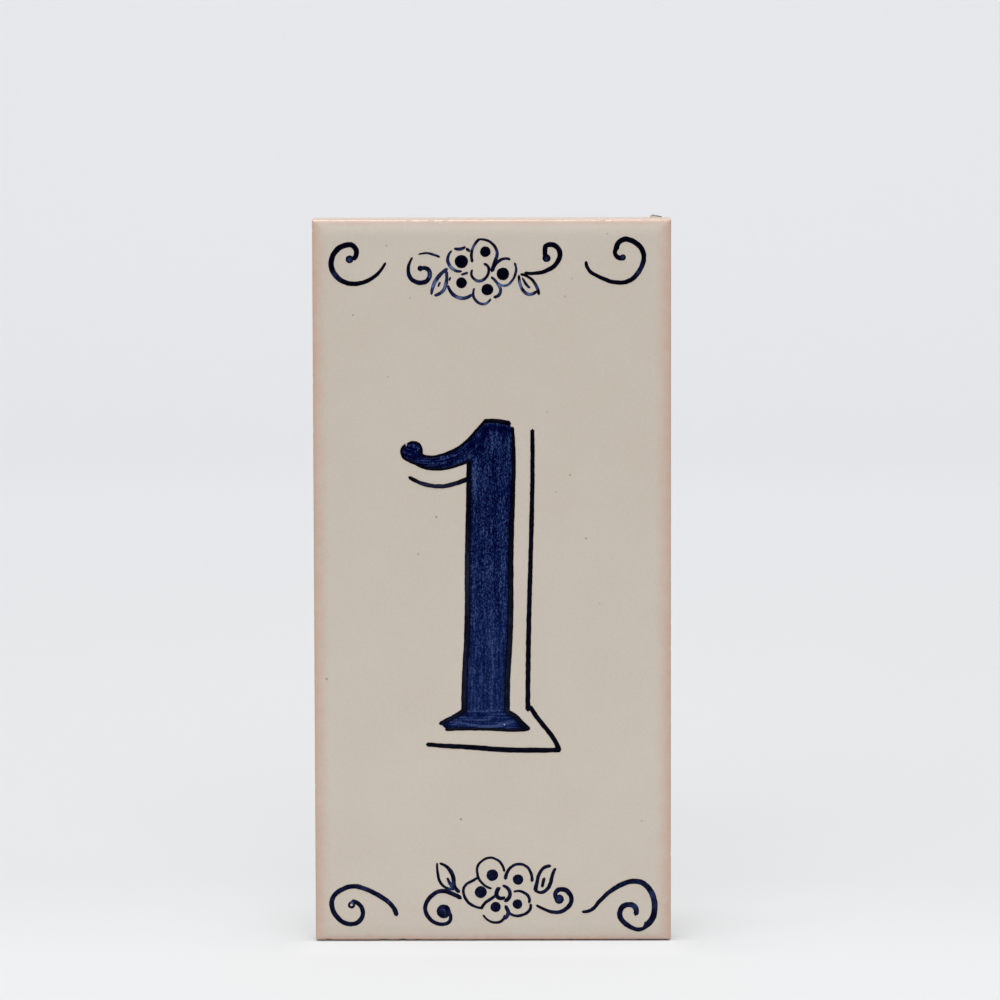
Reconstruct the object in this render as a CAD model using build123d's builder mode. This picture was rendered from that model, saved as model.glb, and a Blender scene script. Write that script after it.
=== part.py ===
from build123d import *
import os

# House number plaque: a glazed ceramic tile with a painted figure and painted ornament.
# Millimetres. The back face lies on the plane Y = 0 with its centre at the origin, the painted
# face looks along -Y and +Z is up. The paint is modelled as thin films that lie on the face.

# Tile
tile_width = 69.0
tile_height = 140.0
tile_thickness = 7.0
corner_radius = 0.6
cushion_width = 1.5
cushion_drop = 0.25
arris_radius = 0.5
back_chamfer = 0.4

# Keying pockets pressed into the back
pocket_margin = 4.0
pocket_rib = 3.0
pocket_depth = 0.5
pocket_draft = 30.0
pocket_columns = 4
pocket_rows = 8

# Paint: the knots and widths of the brush strokes are given in stroke units, about an anchor
paint_thickness = 0.1
stroke_unit = 1.0
ornament_inset = 3.0
ring_hole_radius = 0.24
dot_sides = 12
arcs_per_span = 0.7

# Figure, measured between the middles of its outlines
numeral_height = 59.9
numeral_centre_x = -0.8
numeral_centre_z = 1.05
stem_width = 8.35
stem_lean = 1.3
stem_line_width = 1.1
flag_drop = 7.7
foot_rise = 3.75
foot_step = 0.25
cap_drop = 0.3
ball_radius = 1.8
shadow_shift = 3.9
shadow_overhang = 3.0
shadow_drop = 3.95
flag_shadow_drop = 11.0
shadow_line_width = 0.93
shadow_tip_width = 0.8

face_plane = Plane.XZ.offset(tile_thickness)
upright_section = Plane.YZ
level_section = Plane(origin=(0, 0, 0), x_dir=(0, 1, 0), z_dir=(0, 0, -1))

half_width = tile_width / 2
half_height = tile_height / 2


def section_across(length):
    """Section across the tile: chamfered back, square sides, cushioned face with a rounded arris."""
    half = length / 2
    side_front = cushion_drop - tile_thickness
    with BuildSketch(mode=Mode.PRIVATE) as section:
        with BuildLine():
            face = Line((-tile_thickness, cushion_width - half), (-tile_thickness, half - cushion_width))
            cushion = TangentArc(face @ 1, (side_front, half), tangent=face % 1)
            sides = Polyline(cushion @ 1, (0, half), (0, -half), (side_front, -half))
            TangentArc(face @ 0, sides @ 1, tangent=-(face % 0))
        make_face()
        fillet(section.vertices().group_by(Axis.X)[1], radius=arris_radius)
        chamfer(section.vertices().group_by(Axis.X)[-1], length=back_chamfer)
    return section.sketch


def stroke_side(points):
    """One side of a stroke: a straight line, or a chain of arcs through the points."""
    if len(points) == 3:
        Line(points[0], points[2])
    else:
        for first, middle, last in zip(points[0::2], points[1::2], points[2::2]):
            ThreePointArc(first, middle, last)


def brush_stroke(points, widths):
    """Stroke along a curve through the points, with its widths at the start, the middle and the end."""
    start, middle, end = widths
    spans = len(points) - 1
    samples = 2 * max(min(spans, 2), round(arcs_per_span * spans))
    left = []
    right = []
    with BuildSketch(mode=Mode.PRIVATE) as stroke:
        with BuildLine():
            path = Spline(*points, mode=Mode.PRIVATE)
            for step in range(samples + 1):
                u = step / samples
                width = start * (1 - u) * (1 - 2 * u) + middle * 4 * u * (1 - u) + end * u * (2 * u - 1)
                across = (path % u).rotate(Axis.Z, 90) * (width / 2)
                left.append(path @ u + across)
                right.append(path @ u - across)
            lift_off = path @ 1 + (path % 1) * (end / 2)
            touch_down = path @ 0 - (path % 0) * (start / 2)
            stroke_side(left)
            Polyline(left[-1], lift_off, right[-1])
            stroke_side(right)
            Polyline(right[0], touch_down, left[0])
        make_face()
    return stroke.sketch


def in_units(*lengths):
    """Lengths given in stroke units, in millimetres."""
    return tuple(length * stroke_unit for length in lengths)


def knots(anchor, points):
    """Points given in stroke units about an anchor, in millimetres on the face."""
    return [(anchor[0] + x * stroke_unit, anchor[1] + z * stroke_unit) for x, z in points]


def moved(points, dx, dz):
    """The points moved across and up."""
    return [(x + dx, z + dz) for x, z in points]


def motif(strokes, dots, anchor):
    """A painted motif about its anchor: its brush strokes and its round dots."""
    with BuildSketch(mode=Mode.PRIVATE) as painted:
        add([brush_stroke(knots(anchor, points), in_units(*widths)) for points, widths in strokes])
        for x, z, radius in dots:
            with Locations(*knots(anchor, [(x, z)])):
                RegularPolygon(radius * stroke_unit, dot_sides)
    return painted.sketch


# The tile, pressed in one piece
with BuildPart() as tile:
    with BuildSketch(Plane.XZ):
        RectangleRounded(tile_width, tile_height, corner_radius)
    extrude(amount=tile_thickness)
    with BuildSketch(upright_section):
        add(section_across(tile_height))
    extrude(amount=half_width, both=True, mode=Mode.INTERSECT)
    with BuildSketch(level_section):
        add(section_across(tile_width))
    extrude(amount=half_height, both=True, mode=Mode.INTERSECT)
    with BuildSketch(Plane.XZ):
        pitch_x = (tile_width - 2 * pocket_margin + pocket_rib) / pocket_columns
        pitch_z = (tile_height - 2 * pocket_margin + pocket_rib) / pocket_rows
        with GridLocations(pitch_x, pitch_z, pocket_columns, pocket_rows):
            Rectangle(pitch_x - pocket_rib, pitch_z - pocket_rib)
    extrude(amount=pocket_depth, taper=pocket_draft, mode=Mode.SUBTRACT)


# Figure one: the middle lines of its outlines, each with its brush widths
def stem_edge(side, height, wander=0.0):
    """A point on the stem's left (-1) or right (1) line, at a height that is a share of the figure's."""
    z = figure_foot + height * numeral_height
    middle = numeral_centre_x + stem_lean * (height - 0.5)
    return (middle + side * stem_width / 2 + wander * stroke_unit, z)


figure_top = numeral_centre_z + numeral_height / 2
figure_foot = numeral_centre_z - numeral_height / 2
top_anchor = (numeral_centre_x + stem_lean / 2, figure_top)
foot_anchor = (numeral_centre_x - stem_lean / 2, figure_foot)
flag_root = stem_edge(-1, 1 - flag_drop / numeral_height)
foot_root_left = stem_edge(-1, foot_rise / numeral_height)
foot_root_right = stem_edge(1, (foot_rise - foot_step) / numeral_height)
cap_end = stem_edge(1, 1 - cap_drop / numeral_height, -0.75)
foot_left_tip, sole_left, foot_right_tip = knots(foot_anchor, [(-8.65, 1.25), (-7.5, 0.1), (8.3, 0.25)])

flag_top = [(-13.5, -6.25), (-12.5, -6.62), (-10.8, -6.62), (-8.5, -5.98), (-6.1, -4.77), (-3.55, -2.43)]
flag_belly = [(-6.8, -8.5), (-9.0, -9.05), (-11.5, -9.1), (-13.8, -8.5)]
ball_side = [(-15.0, -7.85), (-16.2, -7.45), (-17.1, -6.5), (-17.3, -5.4), (-16.8, -4.6)]
ball_top = [(-13.45, -6.1), (-13.5, -5.1), (-14.05, -4.2), (-15.0, -3.85), (-16.0, -4.15)]
ball_notch = [(-16.9, -3.5), (-16.15, -3.5), (-16.35, -4.75)]
left_wander = [(0.17, 0.0), (0.28, 0.27), (0.38, 0.3), (0.52, 0.14), (0.75, 0.1)]
right_wander = [(0.98, -0.05), (0.93, 0.2), (0.8, 0.3), (0.57, 0.1), (0.4, 0.24), (0.26, 0.14), (0.16, -0.1)]
shadow_wander = [(0.972, -0.13), (0.87, 0.03), (0.6, 0.05), (0.4, -0.05), (0.2, -0.03), (0.066, 0.08)]

flag_upper = knots(top_anchor, [*flag_top, (-1.2, 0.18)])
flag_lower = [flag_root, *knots(top_anchor, flag_belly + ball_side)]
ball_upper = knots(top_anchor, ball_top)
cap = [flag_upper[-1], *knots(top_anchor, [(1.2, 0.17)]), cap_end]
stem_left = [foot_root_left, *[stem_edge(-1, *knot) for knot in left_wander], flag_root]
stem_right = [*[stem_edge(1, *knot) for knot in right_wander], foot_root_right]
foot_left = [foot_left_tip, *knots(foot_anchor, [(-6.85, 2.12), (-5.2, 3.02)]), foot_root_left]
foot_right = [foot_root_right, *knots(foot_anchor, [(5.6, 2.72), (7.05, 1.3)]), foot_right_tip]
sole_knots = knots(foot_anchor, [(5.1, -0.05), (1.9, 0.07), (-1.4, 0.17), (-4.5, 0.2)])
foot_sole = [foot_right_tip, *sole_knots, sole_left]
ball_centres = knots(top_anchor, [(-15.1, -5.5), (-15.75, -5.75)])

outline_strokes = [
    (flag_upper, in_units(0.45, 0.5, 0.55)),
    (flag_lower, in_units(0.45, 0.55, 0.4)),
    (cap, in_units(0.8, 0.85, 0.95)),
    (stem_left, (stem_line_width, stem_line_width, 0.85 * stem_line_width)),
    (stem_right, (0.55 * stem_line_width, stem_line_width, stem_line_width)),
    (foot_left, in_units(0.8, 0.95, 1.0)),
    (foot_right, in_units(1.0, 1.1, 0.9)),
    (foot_sole, in_units(0.9, 0.6, 0.7)),
]
gaps_between_lines = [
    (flag_lower[-1], flag_upper[0]),
    (cap_end, stem_right[0]),
    (sole_left, foot_left_tip),
]

# Drop shadow: lines that follow the flag, the stem and the sole, to the right of them and below
shadow_corner = (foot_right_tip[0] + 2 * shadow_overhang, figure_foot - shadow_drop)
shadow_anchor = (foot_anchor[0], figure_foot - shadow_drop)
shadow_sole = knots(shadow_anchor, [(6.7, -0.03), (1.9, 0.15), (-3.0, 0.57), (-7.3, 0.8), (-11.2, 1.13)])
stem_shadow = moved([stem_edge(1, *knot) for knot in shadow_wander], shadow_shift, 0)
diagonal_start = (stem_shadow[-1][0] + shadow_line_width / 2, stem_shadow[-1][1] + shadow_line_width / 2)
diagonal = [diagonal_start, *knots(foot_anchor, [(11.15, 1.0), (12.95, -1.35)]), shadow_corner]
flag_arc = [(-4.5, 0.0), (-6.8, -0.9), (-9.5, -1.45), (-12.3, -1.2), (-15.75, 0.25)]
flag_shadow = knots((top_anchor[0], top_anchor[1] - flag_shadow_drop), flag_arc)
shadow_line = (shadow_line_width, shadow_line_width, shadow_line_width)
shadow_strokes = [
    (flag_shadow, (shadow_line_width, 0.9 * shadow_line_width, 0.9 * shadow_tip_width)),
    (stem_shadow, (shadow_tip_width, shadow_line_width, shadow_line_width)),
    (diagonal, shadow_line),
    ([shadow_corner, *shadow_sole], (shadow_line_width, 1.1 * shadow_line_width, shadow_tip_width)),
]
ball_strokes = [(ball_upper, in_units(0.45, 0.5, 0.35))]

line_strokes = outline_strokes + ball_strokes + shadow_strokes
numeral_line_faces = [brush_stroke(points, widths) for points, widths in line_strokes]

with BuildPart() as numeral_lines:
    with BuildSketch(face_plane):
        add(numeral_line_faces)
    extrude(amount=paint_thickness)

with BuildPart() as numeral:
    with BuildSketch(face_plane):
        with BuildLine():
            for points, _ in outline_strokes:
                Spline(*points)
            for first, last in gaps_between_lines:
                Line(first, last)
        make_face()
        with Locations(*ball_centres):
            Circle(ball_radius)
        Polygon(*knots(top_anchor, ball_notch), align=None, mode=Mode.SUBTRACT)
        add(numeral_line_faces, mode=Mode.SUBTRACT)
    extrude(amount=paint_thickness)

# Ornament: a scroll in each corner, and a flower with leaves and scrolls at the top and at the bottom
inset_x = half_width - ornament_inset
inset_z = half_height - ornament_inset

top_left_scroll = [
    ([(5.0, -4.4), (5.55, -3.4), (5.1, -2.05), (3.2, -1.9), (1.25, -3.4), (0.65, -5.4), (1.35, -7.45),
      (3.2, -8.95), (6.0, -9.2), (8.7, -8.1), (11.05, -5.4)], (0.95, 1.03, 0.5)),
]
top_right_scroll = [
    ([(-6.2, -4.3), (-7.1, -4.5), (-7.55, -3.4), (-7.35, -2.0), (-6.5, -0.9), (-4.3, -1.2), (-2.5, -3.0),
      (-2.3, -4.8), (-3.2, -7.0), (-5.1, -8.8), (-7.7, -9.1), (-10.9, -8.0), (-12.9, -6.6), (-13.35, -5.25)],
     (1.05, 0.95, 0.65)),
]
bottom_left_scroll = [
    ([(4.2, 4.5), (5.5, 3.9), (6.2, 2.3), (5.2, 0.4), (3.3, 0.05), (1.3, 1.3), (0.2, 3.3), (0.35, 5.2),
      (2.0, 6.75), (4.6, 7.5), (6.7, 6.95), (9.5, 5.55), (11.4, 4.15), (12.7, 1.9)], (0.85, 0.95, 0.9)),
]
bottom_right_scroll = [
    ([(-3.8, 2.0), (-4.0, 3.3), (-5.2, 3.8), (-6.6, 3.1), (-6.9, 1.5), (-5.5, -0.2), (-3.6, -1.1),
      (-1.7, -0.5)], (1.0, 1.03, 0.62)),
    ([(-1.9, -0.3), (-0.95, 0.5), (-0.35, 1.8), (-0.2, 4.2), (-1.1, 6.7), (-3.1, 8.3), (-5.5, 8.15),
      (-8.8, 6.4), (-11.2, 4.1), (-13.4, 2.35), (-14.05, 2.4)], (1.25, 1.02, 0.65)),
    ([(-2.0, 0.3), (-1.7, -0.4)], (0.5, 0.55, 0.55)),
]

top_flower_dots = [
    (-5.81, -5.03, 1.31), (-1.2, -3.15, 1.05), (-5.8, -9.12, 1.07), (-0.83, -10.43, 1.16),
    (2.16, -7.43, 1.25),
]
top_flower = [
    ([(-7.74, -3.02), (-8.43, -4.5), (-7.8, -6.17), (-5.93, -6.87)], (0.44, 0.63, 0.48)),
    ([(-7.07, -2.54), (-6.04, -2.6), (-5.13, -2.26)], (0.44, 0.67, 0.44)),
    ([(-4.74, -2.6), (-4.3, -2.96)], (0.6, 0.66, 0.55)),
    ([(-5.72, -7.52), (-4.7, -7.2)], (0.49, 0.6, 0.5)),
    ([(-2.39, -0.74), (-3.54, -2.3), (-3.87, -3.5), (-3.76, -4.98)], (0.56, 0.54, 0.62)),
    ([(-2.13, -0.74), (0.0, -1.5), (1.09, -3.4), (0.6, -5.2), (0.1, -6.72)], (0.49, 0.6, 0.85)),
    ([(0.15, -6.5), (1.2, -5.1), (2.3, -4.5), (3.41, -4.61)], (0.78, 0.6, 0.49)),
    ([(4.46, -5.41), (4.68, -7.0), (3.88, -8.82), (2.76, -9.66), (1.42, -9.32)], (0.48, 0.5, 0.4)),
    ([(0.04, -8.13), (1.3, -9.5), (1.67, -11.0), (0.59, -11.87)], (0.48, 0.63, 0.62)),
    ([(-3.35, -10.3), (-3.32, -12.15), (-1.9, -13.2), (-0.7, -12.87), (-0.27, -12.3)], (0.41, 0.55, 0.44)),
    ([(-8.3, -9.8), (-7.17, -11.57), (-5.8, -12.1), (-3.9, -11.4)], (0.54, 0.73, 0.6)),
    ([(-3.76, -6.72), (-3.7, -8.0), (-2.35, -8.78), (-0.8, -7.7), (-0.61, -6.2), (-1.37, -5.46)],
     (0.47, 0.58, 0.51)),
    ([(-7.95, -8.05), (-8.1, -8.6)], (0.36, 0.36, 0.36)),
]
top_sprigs = [
    ([(-8.65, -6.5), (-10.2, -7.9), (-11.2, -9.6), (-11.54, -11.22)], (0.65, 0.78, 0.48)),
    ([(-8.65, -7.04), (-8.7, -9.0), (-9.5, -10.8), (-10.83, -11.5)], (0.58, 0.73, 0.55)),
    ([(-9.95, -9.1), (-10.25, -9.75)], (0.42, 0.42, 0.4)),
    ([(-13.65, -6.5), (-12.5, -6.35), (-11.85, -7.4), (-12.5, -8.75), (-14.0, -9.08), (-15.5, -8.3),
      (-16.0, -6.6), (-15.28, -4.33)], (0.76, 0.88, 0.4)),
    ([(-13.98, -3.6), (-12.6, -3.4), (-11.3, -3.62), (-10.07, -4.1)], (0.28, 0.48, 0.46)),
    ([(10.5, -4.5), (10.25, -3.4), (10.5, -1.95), (11.8, -1.85), (13.0, -2.9), (12.8, -4.9), (11.2, -6.5),
      (8.6, -7.3), (6.46, -7.26)], (0.92, 0.95, 0.55)),
    ([(5.26, -7.8), (5.6, -9.8), (6.7, -11.2), (8.5, -10.85)], (0.49, 0.65, 0.59)),
    ([(5.7, -7.52), (7.4, -8.25), (8.5, -9.6), (9.07, -11.28)], (0.49, 0.6, 0.6)),
    ([(5.91, -8.24), (6.5, -9.25), (7.22, -10.04)], (0.36, 0.52, 0.51)),
]
top_sprig_dots = [(-13.7, -6.32, 0.57), (10.55, -4.4, 0.8)]

bottom_flower_dots = [
    (-0.18, 9.62, 1.18), (-2.42, 6.28, 1.21), (0.45, 3.36, 1.05), (4.83, 8.75, 1.06), (4.7, 3.92, 0.97),
]
bottom_flower = [
    ([(-3.1, 10.1), (-2.6, 12.0), (-0.4, 13.04), (1.4, 12.1), (2.14, 10.5)], (0.52, 0.5, 0.51)),
    ([(-3.1, 10.2), (-2.6, 8.6), (-1.5, 7.5), (-0.4, 7.0)], (0.51, 0.52, 0.44)),
    ([(-3.0, 9.1), (-4.15, 8.48), (-5.62, 7.32), (-5.74, 6.0), (-4.85, 4.3), (-3.7, 3.5), (-2.4, 3.2)],
     (0.52, 0.58, 0.51)),
    ([(-2.3, 3.1), (-1.5, 4.2), (-0.4, 5.0), (0.6, 5.7)], (0.57, 0.63, 0.56)),
    ([(-1.9, 1.7), (-0.9, 0.7), (0.4, 0.3), (1.6, 0.6), (2.2, 1.6)], (0.42, 0.54, 0.6)),
    ([(2.4, 3.5), (2.9, 2.5), (2.3, 1.1)], (0.46, 0.75, 0.6)),
    ([(4.1, 6.4), (5.6, 6.35), (6.7, 5.6), (7.0, 4.3)], (0.45, 0.58, 0.59)),
    ([(7.26, 3.8), (6.9, 2.5), (5.4, 1.7), (4.0, 1.65), (2.9, 2.4), (2.4, 3.5)], (0.59, 0.58, 0.52)),
    ([(2.4, 9.0), (2.9, 10.5), (4.0, 11.55), (5.3, 11.8), (6.6, 11.2), (7.4, 9.8), (7.5, 8.5)],
     (0.72, 0.55, 0.64)),
    ([(1.1, 7.0), (0.65, 6.3), (0.8, 5.4), (1.5, 5.05), (2.1, 5.2)], (0.8, 0.82, 0.67)),
    ([(2.0, 7.5), (3.0, 6.8), (3.25, 5.8), (2.4, 4.6)], (0.57, 0.76, 0.8)),
]
bottom_sprigs = [
    ([(-10.9, 11.9), (-10.7, 9.6), (-9.8, 7.6), (-8.8, 7.0), (-7.7, 6.84)], (0.43, 0.57, 0.48)),
    ([(-10.2, 11.9), (-8.7, 11.0), (-7.8, 9.3), (-7.6, 7.8), (-6.7, 6.4)], (0.48, 0.86, 0.68)),
    ([(-8.84, 9.0), (-8.4, 8.0), (-7.8, 7.1)], (0.46, 0.61, 0.68)),
    ([(-6.4, 5.2), (-8.2, 6.1), (-10.2, 6.5), (-12.3, 5.2), (-13.25, 3.3), (-12.6, 1.4), (-10.6, 0.05),
      (-8.8, 0.3), (-8.2, 1.4), (-8.7, 2.3)], (0.86, 0.81, 0.68)),
    ([(11.0, 11.4), (9.8, 11.0), (8.8, 9.5), (8.45, 8.0), (8.2, 6.7)], (0.68, 0.68, 0.82)),
    ([(8.2, 6.6), (9.3, 6.2), (10.6, 7.0), (11.2, 8.4), (12.0, 10.8)], (0.54, 0.77, 0.62)),
    ([(9.86, 8.9), (9.5, 7.4)], (0.65, 0.64, 0.63)),
    ([(12.9, 4.9), (12.1, 5.4), (12.4, 6.5), (13.6, 6.8), (14.9, 5.8), (15.2, 4.6), (14.4, 3.2), (12.6, 2.3),
      (10.6, 2.6), (8.5, 3.6)], (0.95, 0.88, 0.5)),
]
bottom_sprig_dots = [(-9.62, 2.52, 1.4), (12.82, 4.86, 0.93)]
ring_eye = (3.97, 3.8)

motifs = [
    motif(top_left_scroll, [(4.22, -4.55, 0.78)], (-inset_x, inset_z)),
    motif(top_right_scroll, [(-6.3, -4.3, 0.6)], (inset_x, inset_z)),
    motif(bottom_left_scroll, [(*ring_eye, 0.72)], (-inset_x, -inset_z)),
    motif(bottom_right_scroll, [], (inset_x, -inset_z)),
    motif(top_flower + top_sprigs, top_flower_dots + top_sprig_dots, (0, inset_z)),
    motif(bottom_flower + bottom_sprigs, bottom_flower_dots + bottom_sprig_dots, (0, -inset_z)),
]

with BuildPart() as ornament:
    with BuildSketch(face_plane):
        add(motifs)
        with Locations(*knots((-inset_x, -inset_z), [ring_eye])):
            RegularPolygon(ring_hole_radius, dot_sides, mode=Mode.SUBTRACT)
    extrude(amount=paint_thickness)

pieces = {"tile": tile, "numeral": numeral, "numeral_lines": numeral_lines, "ornament": ornament}
os.makedirs("parts", exist_ok=True)
for name, piece in pieces.items():
    piece.part.label = name
    export_step(piece.part, f"parts/{name}.step")
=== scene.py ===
import math
import random

import bmesh
import bpy
from mathutils import Matrix, Vector, geometry, kdtree, noise
from mathutils.bvhtree import BVHTree


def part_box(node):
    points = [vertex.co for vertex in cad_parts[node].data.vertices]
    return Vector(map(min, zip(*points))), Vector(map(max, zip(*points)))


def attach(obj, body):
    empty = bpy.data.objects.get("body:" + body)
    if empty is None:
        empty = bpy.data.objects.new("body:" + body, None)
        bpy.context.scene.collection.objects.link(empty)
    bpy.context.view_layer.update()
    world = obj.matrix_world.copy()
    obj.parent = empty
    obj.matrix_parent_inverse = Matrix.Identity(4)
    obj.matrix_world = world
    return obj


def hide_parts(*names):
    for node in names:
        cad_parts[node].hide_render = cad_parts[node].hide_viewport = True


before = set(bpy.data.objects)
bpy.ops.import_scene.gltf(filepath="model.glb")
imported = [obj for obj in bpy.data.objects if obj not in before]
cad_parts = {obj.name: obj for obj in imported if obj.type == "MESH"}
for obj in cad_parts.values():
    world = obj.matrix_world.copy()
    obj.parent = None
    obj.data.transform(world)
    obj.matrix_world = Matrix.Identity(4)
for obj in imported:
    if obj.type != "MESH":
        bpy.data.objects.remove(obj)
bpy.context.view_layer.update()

# House number plaque: a glazed tile with brushed paint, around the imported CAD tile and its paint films.
# The meshes are worked out in millimetres, in the frame of the CAD, and are scaled to metres at the end.
MM = 0.001

tile_low, tile_high = (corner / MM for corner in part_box("tile"))
half_width = tile_high.x
half_height = tile_high.z
thickness = -tile_low.y

# Tile: its section, its outline and the pockets in its back
cushion_width = 3.0
cushion_drop = 0.38
arris_radius = 0.42
corner_radius = 0.35
back_chamfer = 0.4
back_corner_radius = 0.2
back_border = 1.5
pocket_margin = 4.0
pocket_rib = 3.0
pocket_depth = 0.5
pocket_draft_run = 0.29
pocket_columns = 4
pocket_rows = 8
edge_lines = [0, 0.03, 0.08, 0.15, 0.24, 0.34, 0.45, 0.6, 0.8, 1.0, 1.25, 1.5, 2.0, 2.5, 3.0]
line_spacing = 0.9
side_rings = 10
ripple_height = 0.012
edge_waver = 0.025
edge_reach = 0.8
side_grain = 0.04
# Along the top and bottom the pink edge band is narrower by this rate, so those edges are lighter in colour
# than the sides
end_band_rate = 2.2

# The lower side: how far its front edge lies below the CAD's, how much further its rear edge does, and
# how high up the tile is drawn down with it
bottom_drop = 0.12
bottom_draft = 0.26
bottom_reach = 2.0

# Chips along the arris: their reach, their depth, how far the outline draws in, and the share at the ends
chip_count = 22
chip_seed = 11
chip_reach = (0.2, 0.55)
chip_depth_rate = 0.45
chip_draw_rate = 0.6
chip_bare_depth = 0.08
chip_end_share = 0.35

# The burr on the top side, which slopes down to the right
burr_place = (31.7, -0.9, 70.0)
burr_size = (1.15, 0.5, 0.4)
burr_slope = 0.12
burr_unevenness = 0.1
burr_slices = 14
burr_spokes = 12

# Specks in the glaze: x, z, size and how dark each one is
glaze_specks = [
    (-20.2, 65.1, 0.3, 0.4), (-26.7, 51.7, 0.28, 0.5), (-15.7, 55.0, 0.3, 0.3), (22.2, 67.3, 0.3, 0.3),
    (15.4, 58.7, 0.28, 0.3), (14.1, 55.2, 0.3, 0.3), (-10.8, 12.6, 0.32, 0.6), (15.0, 20.7, 0.3, 0.5),
    (10.6, 32.9, 0.26, 0.3), (12.3, 17.4, 0.26, 0.3), (18.1, 8.4, 0.3, 0.6), (-14.3, 5.4, 0.3, 0.4),
    (-20.0, 39.8, 0.28, 0.3), (-6.2, -46.4, 0.32, 0.7), (-32.1, -18.9, 0.34, 0.6), (20.7, -4.3, 0.28, 0.3),
    (28.8, -46.8, 0.28, 0.4),
]

# Paint films: their height in the middle and at the rim, how deep they sink, and how wide the rim's dome is
film_height = 0.09
film_rim = {"numeral": 0.08, "numeral_lines": 0.05, "ornament": 0.02}
film_sunk = 0.03
film_dome = 0.3
film_step = {"numeral": 0.34, "numeral_lines": 0.26, "ornament": 0.22}
rim_step = 0.16
stroke_waver = 0.06
waver_seed = 1
paint_roughness = 0.22

# Figure: the middle of the arcs that its flag was brushed along, and where the flag and the foot begin
flag_centre = (-12.4, 35.6)
flag_root = (-4.4, 21.5)
flag_slant = 0.33
foot_edge = (-25.6, -24.2)

# Marks of the brush: x, z, half width, half height and how much lighter (or darker) the paint is there
figure_marks = [
    (-3.2, 20.4, 1.1, 4.8, 0.5), (-0.2, 26.6, 0.6, 3.4, 0.28), (-1.5, 28.9, 1.1, 2.0, -0.55),
    (-2.0, 26.6, 0.9, 2.2, -0.35), (-3.0, 25.4, 0.8, 1.4, -0.15), (2.6, 29.2, 1.7, 1.0, -0.45),
    (0.8, 29.9, 3.0, 0.6, -0.4), (0.2, 22.0, 0.6, 4.0, -0.2), (-15.6, 26.0, 2.0, 2.0, -0.12),
    (-0.8, -28.1, 6.0, 0.7, 0.2), (0.2, -27.0, 0.9, 0.7, -0.3), (-9.4, -28.6, 1.6, 1.2, -0.6),
    (6.0, -28.2, 1.7, 1.2, -0.5),
    (-0.6, -26.2, 0.6, 0.9, 0.2), (3.3, 15.0, 0.9, 9.0, -0.2), (0.0, -12.0, 0.5, 12.0, 0.14),
]
line_marks = [(-10.5, 18.6, 8.0, 3.0, 0.6), (-4.8, 3.0, 0.6, 12.0, 0.3), (-5.4, -18.0, 0.6, 9.0, 0.15)]
ornament_marks = [
    (-27.3, 62.4, 0.75, 0.75, 0.55), (25.2, 62.7, 0.6, 0.6, 0.5), (10.55, 62.5, 0.6, 0.6, 0.5),
    (-29.6, 59.3, 2.0, 1.6, 0.3), (28.6, 60.2, 1.6, 2.4, 0.35), (-20.3, -62.7, 0.45, 0.6, 0.3),
    (31.0, -62.0, 1.2, 3.0, 0.2), (27.4, -63.6, 1.4, 0.9, 0.2), (-8.2, -59.4, 0.8, 1.8, 0.45),
    (2.8, -65.0, 0.9, 1.1, 0.4), (12.85, -62.1, 0.7, 0.7, 0.35), (-9.7, -64.5, 0.9, 0.9, 0.3),
    (-27.4, -62.9, 0.5, 0.5, 0.6), (-25.0, -59.8, 2.4, 0.9, 0.1),
    (-11.0, 57.3, 0.9, 2.2, 0.9), (-9.3, 57.1, 0.9, 2.0, 0.9), (-7.8, 60.6, 1.2, 1.0, 0.6),
    (-3.3, 64.5, 0.7, 1.2, 0.7), (-2.4, 58.5, 1.2, 0.8, 0.6), (2.9, 57.5, 1.8, 0.8, 0.9),
    (-5.8, 55.0, 1.6, 0.8, 0.6), (-1.6, 54.0, 1.4, 0.7, 0.6), (1.1, 56.7, 0.9, 1.4, 0.6),
    (5.4, 57.5, 0.9, 1.6, 1.0), (6.9, 55.8, 1.6, 0.8, 1.0), (8.5, 57.1, 0.8, 1.2, 0.7),
    (-12.0, 59.5, 0.9, 1.2, 0.6), (0.9, 63.4, 0.7, 1.2, 0.5),
]

# How thin the paint is, and how much lighter it gets between two heights down the figure and its outlines:
# partly thinner paint, partly a painted reflection of the bright floor
figure_wash = 0.19
figure_fade_and_reflection = 0.16
figure_fade_and_reflection_heights = (25.0, -20.0)
line_wash = 0.06
line_fade_and_reflection = 0.12
line_fade_and_reflection_heights = (16.0, -6.0)
spray_wash = 0.4
top_wash = 0.06
# The lower strokes are lighter: partly a thinner wash, partly a painted reflection of the bright floor in
# the lower face
bottom_wash_and_reflection = 0.3

# Camera, fitted to the corners of the tile in the photograph
camera_aim = (1.5, -7.0, 15.87)
camera_distance = 1300.0
camera_pitch = 6.42
camera_yaw = -0.27
camera_roll = -0.14
camera_lens = 242.7


def srgb(red, green, blue):
    """A colour as seen on a screen, as Blender's linear colour."""
    linear = [c / 12.92 if c <= 0.04045 else ((c + 0.055) / 1.055) ** 2.4
              for c in (red / 255, green / 255, blue / 255)]
    return (*linear, 1.0)


# Studio paper: its tones from front to back, and the shares of its depth that they begin and end at
# The foreground colour is painted shade: the paper far in front of the tile is dark, standing in for the
# unlit room that the glaze mirrors
foreground_shade_colour = srgb(92, 92, 93)
front_tone = srgb(215, 215, 216)
floor_tone = srgb(200, 200, 201)
middle_tone = srgb(243, 244, 248)
backdrop_tone = srgb(247, 248, 252)
front_share = 0.335
floor_share = 0.38
middle_share = 0.72
paper_colour = srgb(229, 230, 231)
paper_front = -690.0
paper_fade = 130.0
paper_back = 1300.0
paper_sides = (190.0, 1700.0)
paper_evenness = 0.45

# In front of the tile the paper glows more, most at its foot: the photograph has almost no shadow there
front_lift = 0.27
lift_depth = 20.0
lift_sides = (half_width - 4.0, half_width + 8.0)

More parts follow.
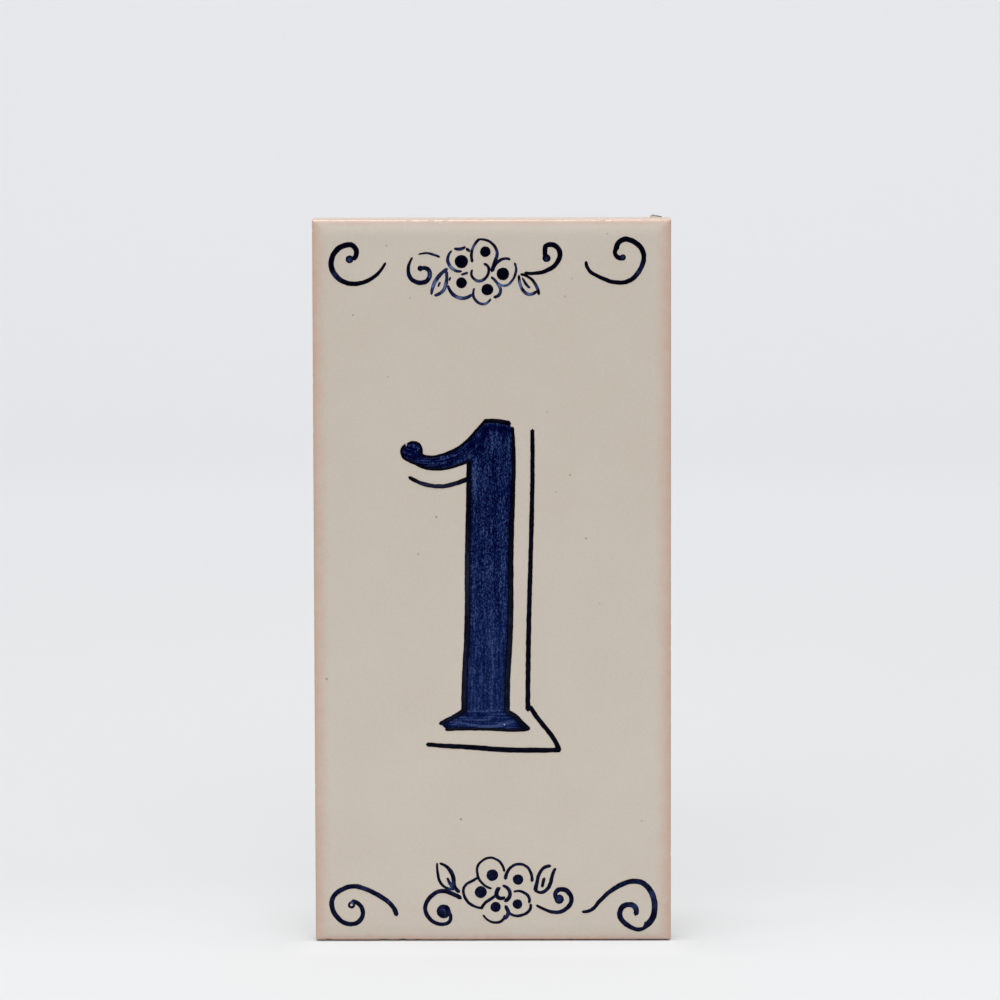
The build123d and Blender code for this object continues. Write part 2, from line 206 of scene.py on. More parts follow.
# Studio sweep and lights
floor_front = -4000.0
sweep_start = 900.0
sweep_bend = 500.0
sweep_steps = 16
back_wall = 3000.0
side_wall = 600.0
above_place = (-20.0, -70.0, 930.0)
above_size = (300.0, 300.0)
above_power = 5.7
front_place = (-120.0, -1900.0, 1300.0)
front_size = (1800.0, 800.0)
front_power = 18.0
room_light = 0.6


def smooth(low, high, value):
    """0 below low, 1 above high and a smooth step between them."""
    t = min(max((value - low) / (high - low), 0.0), 1.0)
    return t * t * (3 - 2 * t)


def ripple(x, z):
    """How far the glaze swells at a place on the face."""
    slow = noise.noise(Vector((x * 0.06, z * 0.06, 3.1)))
    quick = noise.noise(Vector((x * 0.21, z * 0.21, 8.7)))
    return ripple_height * (slow + 0.5 * quick)


def make_object(name, points, faces, attributes):
    """A smooth mesh object, from points in millimetres, with one number per point for each attribute."""
    mesh = bpy.data.meshes.new(name)
    mesh.from_pydata([Vector(point) * MM for point in points], [], faces)
    for label, values in attributes.items():
        mesh.attributes.new(label, "FLOAT", "POINT").data.foreach_set("value", values)
    mesh.shade_smooth()
    mesh.validate()
    piece = bpy.data.objects.new(name, mesh)
    bpy.context.scene.collection.objects.link(piece)
    return piece


# Tile

def face_drop(distance):
    """How far the glazed face lies below its flat, at a distance from the tile's outline."""
    cushion = (cushion_width ** 2 + cushion_drop ** 2) / (2 * cushion_drop)
    lean = (cushion_width - arris_radius) / (cushion - arris_radius)
    meeting = arris_radius * (1 - lean)
    from_flat = max(0.0, cushion_width - max(distance, meeting))
    drop = cushion - math.sqrt(cushion ** 2 - from_flat ** 2)
    if distance < meeting:
        centre = drop + arris_radius * math.sqrt(1 - lean ** 2)
        drop = centre - math.sqrt(arris_radius ** 2 - (arris_radius - distance) ** 2)
    return drop


def pocket_edges(half, count):
    """For each pocket across the back: where its draft begins and ends, at both sides."""
    pitch = (2 * half - 2 * pocket_margin + pocket_rib) / count
    edges = []
    for index in range(count):
        middle = (index - (count - 1) / 2) * pitch
        reach = (pitch - pocket_rib) / 2
        edges.append((middle - reach, middle - reach + pocket_draft_run,
                      middle + reach - pocket_draft_run, middle + reach))
    return edges


def lattice_lines(half, pockets):
    """Lines across the tile: close together at its edges, on the pockets' edges, at most a spacing apart."""
    fixed = {round(sign * (half - d), 4) for d in edge_lines for sign in (-1, 1)}
    fixed |= {round(line, 4) for pocket in pockets for line in pocket}
    fixed = sorted(fixed)
    lines = [fixed[0]]
    for low, high in zip(fixed, fixed[1:]):
        parts = max(1, math.ceil((high - low) / line_spacing))
        lines += [low + (high - low) * step / parts for step in range(1, parts + 1)]
    return lines


def rounded(x, z, half_x, half_z, radius):
    """The point with the square corners of the outline drawn in to round ones."""
    over_x = abs(x) - (half_x - radius)
    over_z = abs(z) - (half_z - radius)
    if min(over_x, over_z) <= 0:
        return x, z
    scale = max(over_x, over_z) / math.hypot(over_x, over_z)
    return (math.copysign(half_x - radius + over_x * scale, x),
            math.copysign(half_z - radius + over_z * scale, z))


def pocket_share(value, pockets):
    """1 on the floor of a pocket, 0 on a rib, and between them on the draft."""
    for outer_low, *_, outer_high in pockets:
        if outer_low < value < outer_high:
            rise = min(value - outer_low, outer_high - value) / pocket_draft_run
            return min(1.0, rise)
    return 0.0


def make_chips():
    """Small chips along the arris: where each one is, and its reach."""
    draw = random.Random(chip_seed)
    chips = []
    for _ in range(chip_count):
        reach = draw.uniform(*chip_reach)
        if draw.random() < chip_end_share:
            place = (draw.uniform(-half_width, half_width), draw.choice((-half_height, half_height)))
        else:
            place = (draw.choice((-half_width, half_width)), draw.uniform(-half_height, half_height))
        chips.append((*place, reach))
    return chips


def chip_depth(x, z, chips):
    """How deep the chips have broken the arris at a place on the outline."""
    deepest = 0.0
    for chip_x, chip_z, reach in chips:
        away = math.hypot(x - chip_x, z - chip_z)
        if away < reach:
            deepest = max(deepest, chip_depth_rate * reach * (1 - (away / reach) ** 2))
    return deepest


def make_tile():
    """The tile: cushioned glazed face, worn arris, rough sides and a back with keying pockets."""
    column_pockets = pocket_edges(half_width, pocket_columns)
    row_pockets = pocket_edges(half_height, pocket_rows)
    columns = lattice_lines(half_width, column_pockets)
    rows = lattice_lines(half_height, row_pockets)
    chips = make_chips()
    points = []
    edge_distance = []
    bare = []
    scorched = []

    def add_point(x, y, z, distance, worn=0.0, burnt=0.0):
        points.append((x, y, z))
        edge_distance.append(distance)
        bare.append(worn)
        scorched.append(burnt)
        return len(points) - 1

    def waver(x, y, z):
        """Unevenness of the outline, along the outline and through the thickness."""
        return edge_waver * noise.noise(Vector((x * 0.35, y * 0.1, z * 0.35)))

    def drawn_in(x, z, amount):
        """The point moved towards the middle of the tile by an amount, on the sides that it lies on."""
        near_x = smooth(edge_reach, 0.0, half_width - abs(x))
        near_z = smooth(edge_reach, 0.0, half_height - abs(z))
        return x - math.copysign(amount * near_x, x), z - math.copysign(amount * near_z, z)

    def stood(y, z):
        """The height of a place, lowered near the bottom, and most at the rear edge that it stands on."""
        drop = bottom_drop + bottom_draft * max(0.0, 1 + y / thickness)
        return z - drop * smooth(bottom_reach, 0.0, z + half_height)

    front = {}
    back = {}
    for i, x in enumerate(columns):
        for k, z in enumerate(rows):
            distance = max(0.0, min(half_width - abs(x), half_height - abs(z)))
            round_x, round_z = rounded(x, z, half_width, half_height, corner_radius)
            chip = chip_depth(round_x, round_z, chips)
            out_x, out_z = drawn_in(round_x, round_z, waver(x, 0, z) + chip_draw_rate * chip)
            height = thickness - face_drop(distance) - chip + ripple(x, z)
            glazed = min(half_width - abs(x), end_band_rate * (half_height - abs(z)))
            worn = min(1.0, chip / chip_bare_depth)
            front[i, k] = add_point(out_x, -height, stood(-height, out_z), glazed, worn)
            inner = max(0.0, 1 - distance / back_border) * back_chamfer
            back_x = x - math.copysign(inner, x) if half_width - abs(x) < back_border else x
            back_z = z - math.copysign(inner, z) if half_height - abs(z) < back_border else z
            back_x, back_z = rounded(back_x, back_z, half_width - back_chamfer, half_height - back_chamfer,
                                     back_corner_radius)
            depth = pocket_depth * min(pocket_share(x, column_pockets), pocket_share(z, row_pockets))
            rough = 0.0
            if distance > back_border:
                rough = side_grain * noise.noise(Vector((x * 0.9, 0.0, z * 0.9)))
            back[i, k] = add_point(back_x, min(0.0, rough) - depth, stood(0.0, back_z), -thickness)

    last_column = len(columns) - 1
    last_row = len(rows) - 1
    faces = []
    for i in range(last_column):
        for k in range(last_row):
            faces.append((front[i, k], front[i + 1, k], front[i + 1, k + 1], front[i, k + 1]))
            faces.append((back[i, k], back[i, k + 1], back[i + 1, k + 1], back[i + 1, k]))

    around = [(i, 0) for i in range(last_column)] + [(last_column, k) for k in range(last_row)]
    around += [(i, last_row) for i in range(last_column, 0, -1)] + [(0, k) for k in range(last_row, 0, -1)]
    rings = [[front[place] for place in around]]
    top = face_drop(0) - thickness
    for ring in range(1, side_rings + 1):
        y = top + (-back_chamfer - top) * ring / side_rings
        loop = []
        for i, k in around:
            x, z = rounded(columns[i], rows[k], half_width, half_height, corner_radius)
            grain = side_grain * noise.noise(Vector((x * 1.3, y * 1.3, z * 1.3)))
            x, z = drawn_in(x, z, waver(x, y, z) + abs(grain))
            loop.append(add_point(x, y, stood(y, z), top - y))
        rings.append(loop)
    rings.append([back[place] for place in around])
    for upper, lower in zip(rings, rings[1:]):
        for n in range(len(around)):
            following = (n + 1) % len(around)
            faces.append((upper[n], lower[n], lower[following], upper[following]))

    def burr_point(along, turn):
        """A point of the small burr on the top side, whose crest was scorched."""
        reach = max(0.0, math.sin(along)) ** 0.4
        height = reach * math.sin(turn)
        x, y, z = (middle + size * share for middle, size, share in zip(
            burr_place, burr_size, (-math.cos(along), reach * math.cos(turn), height)))
        z += burr_slope * math.cos(along) + burr_unevenness * noise.noise(Vector((x * 1.7, y * 1.7, 5.0)))
        return add_point(x, y, z, -thickness, 0.0, smooth(0.4, 0.65, height - 0.2 * math.cos(along)))

    turns = [2 * math.pi * s / burr_spokes for s in range(burr_spokes)]
    loops = [[burr_point(math.pi * n / burr_slices, turn) for turn in turns] for n in range(1, burr_slices)]
    ends = [burr_point(0.0, 0.0), burr_point(math.pi, 0.0)]
    for s in range(burr_spokes):
        following = (s + 1) % burr_spokes
        faces.append((ends[0], loops[0][following], loops[0][s]))
        faces.append((ends[1], loops[-1][s], loops[-1][following]))
        for near, far in zip(loops, loops[1:]):
            faces.append((near[s], near[following], far[following], far[s]))
    return make_object("plaque_tile", points, faces, {
        "edge_distance": edge_distance, "bare": bare, "scorched": scorched})


# Paint

def film_outline(node):
    """The front of a CAD film: a tree that tells inside from outside, and its outline in short steps."""
    shape = bmesh.new()
    shape.from_mesh(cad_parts[node].data)
    bmesh.ops.remove_doubles(shape, verts=shape.verts, dist=1e-7)
    front = [face for face in shape.faces if face.normal.y < -0.9]
    flat = [Vector((v.co.x / MM, v.co.z / MM, 0)) for v in shape.verts]
    shape.verts.index_update()
    inside = BVHTree.FromPolygons(flat, [[v.index for v in face.verts] for face in front])
    front_set = set(front)
    points = []
    links = []
    index_of = {}
    for edge in shape.edges:
        if sum(face in front_set for face in edge.link_faces) != 1:
            continue
        chain = []
        for vert in edge.verts:
            if vert.index not in index_of:
                index_of[vert.index] = len(points)
                points.append(flat[vert.index])
            chain.append(index_of[vert.index])
        start, end = (points[n] for n in chain)
        parts = max(1, math.ceil((end - start).length / rim_step))
        for step in range(1, parts):
            chain.insert(-1, len(points))
            points.append(start.lerp(end, step / parts))
        links += list(zip(chain, chain[1:]))
    shape.free()
    return inside, points, links


def island_roots(count, triangles):
    """For each point, the one point that stands for the island it belongs to."""
    parent = list(range(count))

    def root(n):
        while parent[n] != n:
            parent[n] = parent[parent[n]]
            n = parent[n]
        return n

    for a, b, c in triangles:
        parent[root(b)] = root(a)
        parent[root(c)] = root(a)
    return [root(n) for n in range(count)]


def make_film(name, node, measures):
    """A painted film in the outline of its CAD film: finely meshed, slightly domed, with wavering edges."""
    step = film_step[node]
    inside, points, links = film_outline(node)
    rim_count = len(points)
    rim = kdtree.KDTree(rim_count)
    for n, point in enumerate(points):
        rim.insert(point, n)
    rim.balance()

    def holds(point):
        return inside.find_nearest(point)[3] < 1e-4

    low = Vector((min(p.x for p in points), min(p.y for p in points)))
    high = Vector((max(p.x for p in points), max(p.y for p in points)))
    row_gap = step * math.sqrt(3) / 2
    for row in range(int((high.y - low.y) / row_gap) + 1):
        for column in range(int((high.x - low.x) / step) + 1):
            point = Vector((low.x + (column + row % 2 / 2) * step, low.y + row * row_gap, 0))
            if holds(point) and rim.find(point)[2] > 0.6 * step:
                points.append(point)
    flat, _, triangles, *_ = geometry.delaunay_2d_cdt([p.to_2d() for p in points], links, [], 0, 1e-6)
    triangles = [t for t in triangles if holds(sum((flat[n] for n in t), Vector((0, 0))).to_3d() / 3)]

    tops = []
    distances = []
    for point in flat:
        distance = rim.find(point.to_3d())[2]
        waver = noise.noise_vector(point.to_3d() * 0.9) + 0.5 * noise.noise_vector(point.to_3d() * 2.3)
        x = point.x + stroke_waver * waver.x
        z = point.y + stroke_waver * waver.y
        rise = min(1.0, distance / film_dome)
        height = film_rim[node] + (film_height - film_rim[node]) * math.sqrt(1 - (1 - rise) ** 2)
        tops.append((x, -thickness - ripple(x, z) - height, z))
        distances.append(distance)
    count = len(tops)
    bottoms = [(x, film_sunk - thickness - ripple(x, z), z) for x, _, z in tops]
    faces = []
    edge_uses = {}
    for a, b, c in triangles:
        facing = (flat[b] - flat[a]).cross(flat[c] - flat[a])
        a, b, c = (a, b, c) if facing > 0 else (a, c, b)
        faces.append((a, b, c))
        faces.append((count + a, count + c, count + b))
        for pair in ((a, b), (b, c), (c, a)):
            edge_uses[pair] = edge_uses.get(pair, 0) + 1
    for a, b in edge_uses:
        if (b, a) not in edge_uses:
            faces.append((b, a, count + a, count + b))
    attributes = {"edge_distance": distances * 2}
    islands = island_roots(count, triangles)
    half_widths = {}
    for island, distance in zip(islands, distances):
        half_widths[island] = max(distance, half_widths.get(island, 0.0))
    for label, measure in measures.items():
        values = [measure(x, z, half_widths[island]) for (x, _, z), island in zip(tops, islands)]
        attributes[label] = values * 2
    return make_object(name, tops + bottoms, faces, attributes)


def flag_share(x, z, stroke_half):
    """1 on the flag of the figure, 0 on its stem."""
    joint = flag_root[0] + flag_slant * (z - flag_root[1])
    return smooth(joint + 0.7, joint - 0.7, x) * smooth(flag_root[1] - 2.0, flag_root[1], z)


def foot_share(x, z, stroke_half):
    """1 on the foot of the figure, 0 above it."""
    return smooth(foot_edge[1], foot_edge[0], z)


def flag_across(x, z, stroke_half):
    """Across the brush marks of the flag."""
    return math.hypot(x - flag_centre[0], z - flag_centre[1])


def flag_along(x, z, stroke_half):
    """Along the brush marks of the flag."""
    return flag_across(x, z, stroke_half) * math.atan2(z - flag_centre[1], x - flag_centre[0])


def marked(x, z, marks):
    """How much lighter the marks leave the paint at a place."""
    return sum(amount * smooth(1.0, 0.3, math.hypot((x - mark_x) / half_x, (z - mark_z) / half_z))
               for mark_x, mark_z, half_x, half_z, amount in marks)


def figure_thinning_and_reflection(x, z, stroke_half):
    """Lighter paint down the figure, partly thinner and partly a painted reflection of the bright floor, and
    its marks.
    """
    return figure_wash + figure_fade_and_reflection * smooth(*figure_fade_and_reflection_heights, z) + marked(x, z, figure_marks)


def lines_thinning_and_reflection(x, z, stroke_half):
    """Lighter paint down the outlines, partly thinner and partly a painted reflection of the bright floor,
    and their marks.
    """
    stem = smooth(5.8, 5.0, x) * smooth(-30.5, -29.5, z)
    # The fade is partly thinner paint and partly a painted reflection of the bright floor in the lower face
    fade_and_reflection = line_fade_and_reflection * smooth(*line_fade_and_reflection_heights, z) * (1 + 2 * stem)
    return line_wash + fade_and_reflection + marked(x, z, line_marks)


def ornament_thinning_and_reflection(x, z, stroke_half):
    """A wash in the lower strokes, partly a painted reflection of the bright floor, and in the fine ones of
    the top spray, and thinner paint at the marks.
    """
    spray = smooth(0.0, 30.0, z) * smooth(17.5, 16.5, abs(x)) * smooth(0.6, 0.35, stroke_half)
    wash = top_wash if z > 0 else bottom_wash_and_reflection
    return min(1.0, wash + spray_wash * spray + marked(x, z, ornament_marks))


# Materials

def new_material(name):
    """A node material, with its tree and its shader."""
    material = bpy.data.materials.new(name)
    material.use_nodes = True
    tree = material.node_tree
    return material, tree, tree.nodes["Principled BSDF"]


def add_node(tree, kind, inputs=None, **settings):
    """A shader node: its settings, and its inputs as links or as values."""
    node = tree.nodes.new("ShaderNode" + kind)
    for name, value in settings.items():
        setattr(node, name, value)
    for name, value in (inputs or {}).items():
        if isinstance(value, bpy.types.NodeSocket):
            tree.links.new(value, node.inputs[name])
        else:
            node.inputs[name].default_value = value
    return node


def place_in_mm(tree):
    """The place on the object, in millimetres."""
    place = add_node(tree, "TexCoord").outputs["Object"]
    return add_node(tree, "VectorMath", {0: place, 1: (1 / MM,) * 3}, operation="MULTIPLY").outputs[0]


def stretched(tree, place, amounts):
    """The place, stretched by an amount along each axis."""
    return add_node(tree, "VectorMath", {0: place, 1: amounts}, operation="MULTIPLY").outputs[0]


def cloud(tree, place, scale, detail=2.0, roughness=0.5):
    """Soft noise from 0 to 1."""
    return add_node(tree, "TexNoise", {"Vector": place, "Scale": scale, "Detail": detail,
                                       "Roughness": roughness}).outputs["Fac"]


def attribute(tree, name):
    """A number that the mesh carries at each point."""
    return add_node(tree, "Attribute", attribute_name=name).outputs["Fac"]


def remap(tree, value, low, high, to_low=0.0, to_high=1.0, shape="SMOOTHSTEP"):
    """The value, taken from one range to another."""
    return add_node(tree, "MapRange", {"Value": value, "From Min": low, "From Max": high, "To Min": to_low,
                                       "To Max": to_high}, interpolation_type=shape).outputs["Result"]


def calculate(tree, operation, *values):
    """Arithmetic on one, two or three numbers."""
    return add_node(tree, "Math", dict(enumerate(values)), operation=operation).outputs[0]


def summed(tree, *values):
    """The sum of several numbers."""
    total = values[0]
    for value in values[1:]:
        total = calculate(tree, "ADD", total, value)
    return total


def mixed(tree, share, a, b):
    """Two numbers blended by a share."""
    return add_node(tree, "Mix", {0: share, 2: a, 3: b}, data_type="FLOAT").outputs[0]


def blend(tree, share, a, b, mode="MIX"):
    """Two colours blended by a share."""
    return add_node(tree, "Mix", {0: share, 6: a, 7: b}, data_type="RGBA", blend_type=mode).outputs[2]


def graded(tree, value, stops):
    """A colour for each value between 0 and 1, through the given stops."""
    node = add_node(tree, "ValToRGB", {"Fac": value})
    ramp = node.color_ramp
    while len(ramp.elements) < len(stops):
        ramp.elements.new(0.5)
    for element, (position, colour) in zip(ramp.elements, stops):
        element.position = position
        element.color = colour
    return node.outputs["Color"]


def relief(tree, shader, height, strength, distance):
    """Fine relief on the surface, in metres at full strength."""
    bump = add_node(tree, "Bump", {"Height": height, "Strength": strength, "Distance": distance})
    tree.links.new(bump.outputs["Normal"], shader.inputs["Normal"])


def specked(tree, place):
    """How dark the specks in the glaze are at a place."""
    shares = []
    for x, z, size, amount in glaze_specks:
        away = add_node(tree, "VectorMath", {0: place, 1: (x, -thickness, z)}, operation="DISTANCE")
        shares.append(remap(tree, away.outputs["Value"], size, 0.4 * size, 0.0, amount))
    return summed(tree, *shares)


def tile_material():
    """Greige glaze that thins to pink at the edges, over the pale biscuit of the sides, back and chips."""
    material, tree, shader = new_material("glazed_tile")
    place = place_in_mm(tree)
    distance = attribute(tree, "edge_distance")
    wander = calculate(tree, "MULTIPLY_ADD", cloud(tree, place, 0.5, 4.0), 1.6, -0.8)
    uneven = calculate(tree, "ADD", distance, wander)
    thin = graded(tree, remap(tree, uneven, -0.4, 3.4), [
        (0.0, srgb(189, 158, 139)), (0.3, srgb(190, 169, 154)), (0.68, srgb(192, 177, 164)),
        (1.0, srgb(194, 184, 172))])
    mottle = cloud(tree, place, 0.09, 3.0)
    glaze = blend(tree, 1.0, thin, graded(tree, mottle, [
        (0.25, srgb(251, 250, 249)), (0.75, srgb(255, 255, 255))]), "MULTIPLY")
    grain = cloud(tree, place, 2.4, 2.0, 0.7)
    glaze = blend(tree, 1.0, glaze, graded(tree, grain, [
        (0.3, srgb(249, 249, 249)), (0.7, srgb(255, 255, 255))]), "MULTIPLY")
    glaze = blend(tree, specked(tree, place), glaze, srgb(112, 100, 90))
    biscuit = graded(tree, cloud(tree, place, 1.1, 5.0, 0.65), [
        (0.25, srgb(181, 166, 152)), (0.55, srgb(191, 178, 166)), (0.85, srgb(201, 190, 179))])
    biscuit = blend(tree, attribute(tree, "scorched"), biscuit, srgb(66, 47, 32))
    ragged = calculate(tree, "MULTIPLY_ADD", cloud(tree, place, 1.4, 3.0), 0.8, -0.4)
    covered = remap(tree, calculate(tree, "ADD", distance, ragged), -0.75, -0.25)
    covered = calculate(tree, "MULTIPLY", covered, remap(tree, attribute(tree, "bare"), 0.75, 0.25))
    tree.links.new(blend(tree, covered, biscuit, glaze), shader.inputs["Base Color"])
    gloss = remap(tree, grain, 0.2, 0.8, 0.17, 0.23)
    tree.links.new(mixed(tree, covered, 0.8, gloss), shader.inputs["Roughness"])
    shader.inputs["Specular IOR Level"].default_value = 0.54
    uncovered = calculate(tree, "SUBTRACT", 1.0, covered)
    pits = calculate(tree, "MULTIPLY", cloud(tree, place, 3.2, 4.0, 0.7), uncovered)
    relief(tree, shader, pits, 0.6, 0.00025)
    return material


def film_material(name, stops, amount):
    """Fired paint: a colour for each amount of thinning and painted reflection, from the full dark paint to
    a wash.
    """
    material, tree, shader = new_material(name)
    place = place_in_mm(tree)
    tree.links.new(graded(tree, amount(tree, place), stops), shader.inputs["Base Color"])
    rough = remap(tree, cloud(tree, place, 1.7), 0.3, 0.7, paint_roughness - 0.05, paint_roughness + 0.05)
    tree.links.new(rough, shader.inputs["Roughness"])
    shader.inputs["Specular IOR Level"].default_value = 0.02
    return material


def speckle(tree, place, low, high):
    """Fine grains of pigment, a little longer up and down."""
    grains = cloud(tree, stretched(tree, place, (1.0, 1.0, 0.55)), 5.0, 3.0, 0.7)
    return remap(tree, grains, 0.3, 0.72, low, high)


def streaks(tree, place, along, broad_range, fine_range, low, high):
    """Broad and fine marks of a brush that was drawn along one of the axes."""

    def drawn_out(rate):
        """The place, with the marks drawn out along the brush."""
        return stretched(tree, place, tuple(rate if axis == along else 1.0 for axis in "XYZ"))

    broad = remap(tree, cloud(tree, drawn_out(0.03), 0.75, 2.0), low, high, *broad_range)
    fine = remap(tree, cloud(tree, drawn_out(0.08), 3.0, 2.0, 0.6), low, high, *fine_range)
    return summed(tree, broad, fine)


def figure_amount(tree, place):
    """Brush marks up the stem, round the flag and along the foot of the figure, grains and pale flecks."""
    stem = streaks(tree, place, "Z", (0.02, 0.15), (-0.04, 0.23), 0.36, 0.64)
    bent = add_node(tree, "CombineXYZ", {
        "X": attribute(tree, "flag_across"), "Y": attribute(tree, "flag_along")})
    flag = streaks(tree, bent.outputs[0], "Y", (-0.12, 0.04), (-0.28, 0.56), 0.4, 0.62)
    foot = streaks(tree, place, "X", (0.04, 0.26), (-0.06, 0.46), 0.36, 0.64)
    brushed = mixed(tree, attribute(tree, "flag_share"), stem, flag)
    brushed = mixed(tree, attribute(tree, "foot_share"), brushed, foot)
    rim = remap(tree, attribute(tree, "edge_distance"), 0.1, 0.6, -0.1, 0.0)
    flecks = add_node(tree, "TexVoronoi", {"Vector": place, "Scale": 0.42}, feature="F1")
    chosen = add_node(tree, "SeparateColor", {"Color": flecks.outputs["Color"]}).outputs[0]
    fleck = calculate(tree, "MULTIPLY", remap(tree, flecks.outputs["Distance"], 0.075, 0.03),
                      remap(tree, chosen, 0.5, 0.95, 0.0, 0.8))
    height = add_node(tree, "SeparateXYZ", {0: place}).outputs["Z"]
    grains = calculate(tree, "MULTIPLY", speckle(tree, place, -0.52, 0.52),
                       remap(tree, height, -24.0, 12.0, 0.58, 1.12))
    # The figure's thinning lightens its lower part, partly as a painted reflection of the bright floor
    painted = summed(tree, brushed, grains, attribute(tree, "thinning_and_reflection"), rim)
    return summed(tree, calculate(tree, "MINIMUM", painted, 0.94), fleck)


def line_amount(tree, place):
    """Nearly even dark paint of the outlines, a little lighter where it is thinner and where a reflection is
    painted.
    """
    uneven = remap(tree, cloud(tree, place, 0.45, 3.0), 0.4, 0.8, 0.0, 0.3)
    pooled = remap(tree, attribute(tree, "edge_distance"), 0.0, 0.3, 0.3, 1.0)
    return calculate(tree, "MULTIPLY", pooled, summed(
        tree, uneven, speckle(tree, place, -0.1, 0.2), attribute(tree, "thinning_and_reflection")))


def ornament_amount(tree, place):
    """Paint that thins to a wash along the finer and the lower strokes, the lower ones partly a painted
    reflection, and pools along their edges.
    """
    uneven = remap(tree, cloud(tree, place, 0.7, 3.0, 0.6), 0.3, 0.65, 0.5, 1.1)
    pooled = remap(tree, attribute(tree, "edge_distance"), 0.0, 0.2, 0.6, 1.0)
    wash = calculate(tree, "MULTIPLY", attribute(tree, "thinning_and_reflection"), uneven)
    return summed(tree, calculate(tree, "MULTIPLY", wash, pooled), speckle(tree, place, -0.08, 0.1))


# Stage

def seen_directly(tree):
    """1 for rays from the camera, off a gloss or through glass, 0 for the rest."""
    path = add_node(tree, "LightPath").outputs
    direct = calculate(tree, "ADD", path["Is Camera Ray"], path["Is Glossy Ray"])
    return add_node(tree, "Math", {0: direct, 1: path["Is Transmission Ray"]}, operation="ADD",
                    use_clamp=True).outputs[0]


def paper_material():
    """Pale studio paper: partly an even tone to the eye, and partly the light and shadow that fall on it."""
    material, tree, shader = new_material("studio_paper")
    place = place_in_mm(tree)
    shader.inputs["Roughness"].default_value = 0.9
    shader.inputs["Specular IOR Level"].default_value = 0.1
    across = add_node(tree, "SeparateXYZ", {0: place}).outputs
    aside = calculate(tree, "ABSOLUTE", across["X"])
    fade = paper_fade / (paper_back - paper_front)
    depth = calculate(tree, "MAXIMUM", remap(tree, across["Y"], paper_front, paper_back, shape="LINEAR"),
                      remap(tree, aside, *paper_sides, shape="LINEAR"))
    # Far in front the paper takes the painted shade of the foreground colour
    paper = graded(tree, depth, [(0.0, foreground_shade_colour), (fade, paper_colour)])
    tree.links.new(paper, shader.inputs["Base Color"])
    tone = graded(tree, depth, [
        (0.0, foreground_shade_colour), (fade, front_tone), (front_share, front_tone), (floor_share, floor_tone),
        (middle_share, middle_tone), (1.0, backdrop_tone)])
    before = calculate(tree, "SUBTRACT", -thickness, across["Y"])
    close = calculate(tree, "MULTIPLY", remap(tree, before, 0.0, lift_depth, 1.0, 0.0, "LINEAR"),
                      remap(tree, before, -1.0, 0.0))
    lift = calculate(tree, "MULTIPLY", remap(tree, aside, *lift_sides, front_lift, 0.0), close)
    glow = add_node(tree, "Emission", {"Color": tone, "Strength": calculate(tree, "ADD", lift, 1.0)})
    outside = calculate(tree, "MAXIMUM", calculate(tree, "SUBTRACT", aside, half_width),
                        calculate(tree, "MAXIMUM", across["Y"], before))
    even = calculate(tree, "MULTIPLY", seen_directly(tree),
                     remap(tree, outside, -0.4, 0.0, 0.0, paper_evenness))
    mix = add_node(tree, "MixShader", {0: even, 1: shader.outputs[0], 2: glow.outputs[0]})
    tree.links.new(mix.outputs[0], tree.nodes["Material Output"].inputs["Surface"])
    material.cycles.emission_sampling = "NONE"
    return material


def make_stage():
    """A pale floor that sweeps up behind the object and at both sides."""
    floor_z = -half_height - bottom_drop - bottom_draft

    def sweep_up(start, wall):
        """Places and heights along the floor's end, round a bend and up a wall."""
        turns = [math.pi / 2 * step / sweep_steps for step in range(sweep_steps + 1)]
        curve = [(start + sweep_bend * math.sin(turn), sweep_bend * (1 - math.cos(turn))) for turn in turns]
        return curve + [(start + sweep_bend, sweep_bend + wall)]

    side = sweep_up(paper_sides[1], side_wall)
    rows = [(floor_front, 0.0), (0.0, 0.0)] + sweep_up(sweep_start, back_wall)
    columns = [(-x, rise) for x, rise in reversed(side)] + [(0.0, 0.0)] + side
    points = [(x, y, floor_z + rise + side_rise) for y, rise in rows for x, side_rise in columns]
    width = len(columns)
    faces = []
    for row in range(len(rows) - 1):
        for column in range(width - 1):
            first = width * row + column
            faces.append((first, first + 1, first + width + 1, first + width))
    sweep = make_object("studio_sweep", points, faces, {})
    sweep.data.materials.append(paper_material())


def add_softbox(name, place, size, power):
    """A rectangular soft light that looks at the middle of the tile."""
    lamp = bpy.data.lights.new(name, "AREA")
    lamp.shape = "RECTANGLE"
    lamp.size, lamp.size_y = (length * MM for length in size)
    lamp.energy = power
    light = bpy.data.objects.new(name, lamp)
    light.location = Vector(place) * MM
    light.rotation_mode = "QUATERNION"
    light.rotation_quaternion = Vector(place).to_track_quat("Z", "Y")
    bpy.context.scene.collection.objects.link(light)


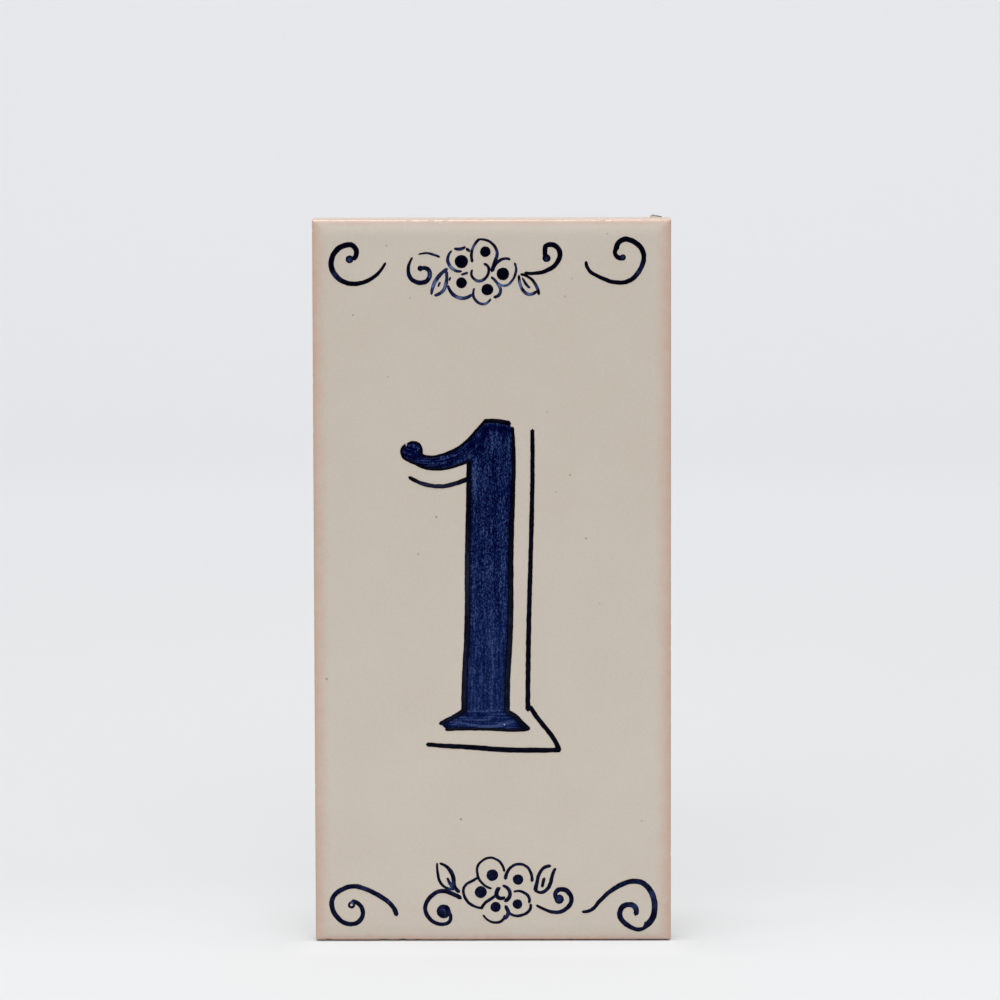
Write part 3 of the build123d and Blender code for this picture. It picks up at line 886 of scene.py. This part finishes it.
def make_lights():
    """Soft studio light: a box above, a large one in front to the left, and an even room."""
    add_softbox("light_above", above_place, above_size, above_power)
    add_softbox("light_front", front_place, front_size, front_power)
    world = bpy.data.worlds.new("room")
    world.use_nodes = True
    tree = world.node_tree
    room = tree.nodes["Background"]
    room.inputs["Color"].default_value = srgb(255, 255, 255)
    room.inputs["Strength"].default_value = room_light
    seen = add_node(tree, "Background", {"Color": backdrop_tone, "Strength": 1.0})
    mix = add_node(tree, "MixShader", {0: seen_directly(tree), 1: room.outputs[0], 2: seen.outputs[0]})
    tree.links.new(mix.outputs[0], tree.nodes["World Output"].inputs["Surface"])
    bpy.context.scene.world = world


def make_camera():
    """The photograph's camera."""
    lens = bpy.data.cameras.new("photo_camera")
    lens.lens = camera_lens
    lens.sensor_width = 36.0
    lens.clip_end = 50.0
    camera = bpy.data.objects.new("photo_camera", lens)
    turn = (Matrix.Rotation(math.radians(-camera_yaw), 4, "Z")
            @ Matrix.Rotation(math.radians(90 - camera_pitch), 4, "X")
            @ Matrix.Rotation(math.radians(camera_roll), 4, "Z"))
    back = turn.to_3x3() @ Vector((0, 0, 1))
    camera.matrix_world = Matrix.Translation((Vector(camera_aim) + back * camera_distance) * MM) @ turn
    bpy.context.scene.collection.objects.link(camera)
    bpy.context.scene.camera = camera


# Without a seed of its own, Blender takes the waver of the strokes from the clock
noise.seed_set(waver_seed)

tile = make_tile()
tile.data.materials.append(tile_material())
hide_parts("tile")

numeral = make_film("figure_fill", "numeral", {
    "flag_share": flag_share, "foot_share": foot_share, "flag_across": flag_across, "flag_along": flag_along,
    "thinning_and_reflection": figure_thinning_and_reflection})
numeral.data.materials.append(film_material("cobalt_paint", [
    (0.0, srgb(0, 0, 34)), (0.3, srgb(3, 15, 55)), (0.65, srgb(21, 36, 79)), (0.94, srgb(55, 70, 112)),
    (1.0, srgb(130, 144, 180))], figure_amount))
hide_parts("numeral")

lines = make_film("figure_lines", "numeral_lines", {"thinning_and_reflection": lines_thinning_and_reflection})
lines.data.materials.append(film_material("navy_line_paint", [
    (0.0, srgb(0, 0, 5)), (0.5, srgb(9, 12, 27)), (1.0, srgb(32, 37, 62))], line_amount))
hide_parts("numeral_lines")

ornament = make_film("ornament_strokes", "ornament", {"thinning_and_reflection": ornament_thinning_and_reflection})
ornament.data.materials.append(film_material("navy_wash_paint", [
    (0.0, srgb(0, 0, 6)), (0.25, srgb(7, 10, 33)), (0.6, srgb(36, 46, 86)), (1.0, srgb(86, 99, 138))],
    ornament_amount))
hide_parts("ornament")

for piece in (tile, numeral, lines, ornament):
    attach(piece, "root")

make_stage()
make_lights()
make_camera()
bpy.context.scene.view_settings.view_transform = "Standard"
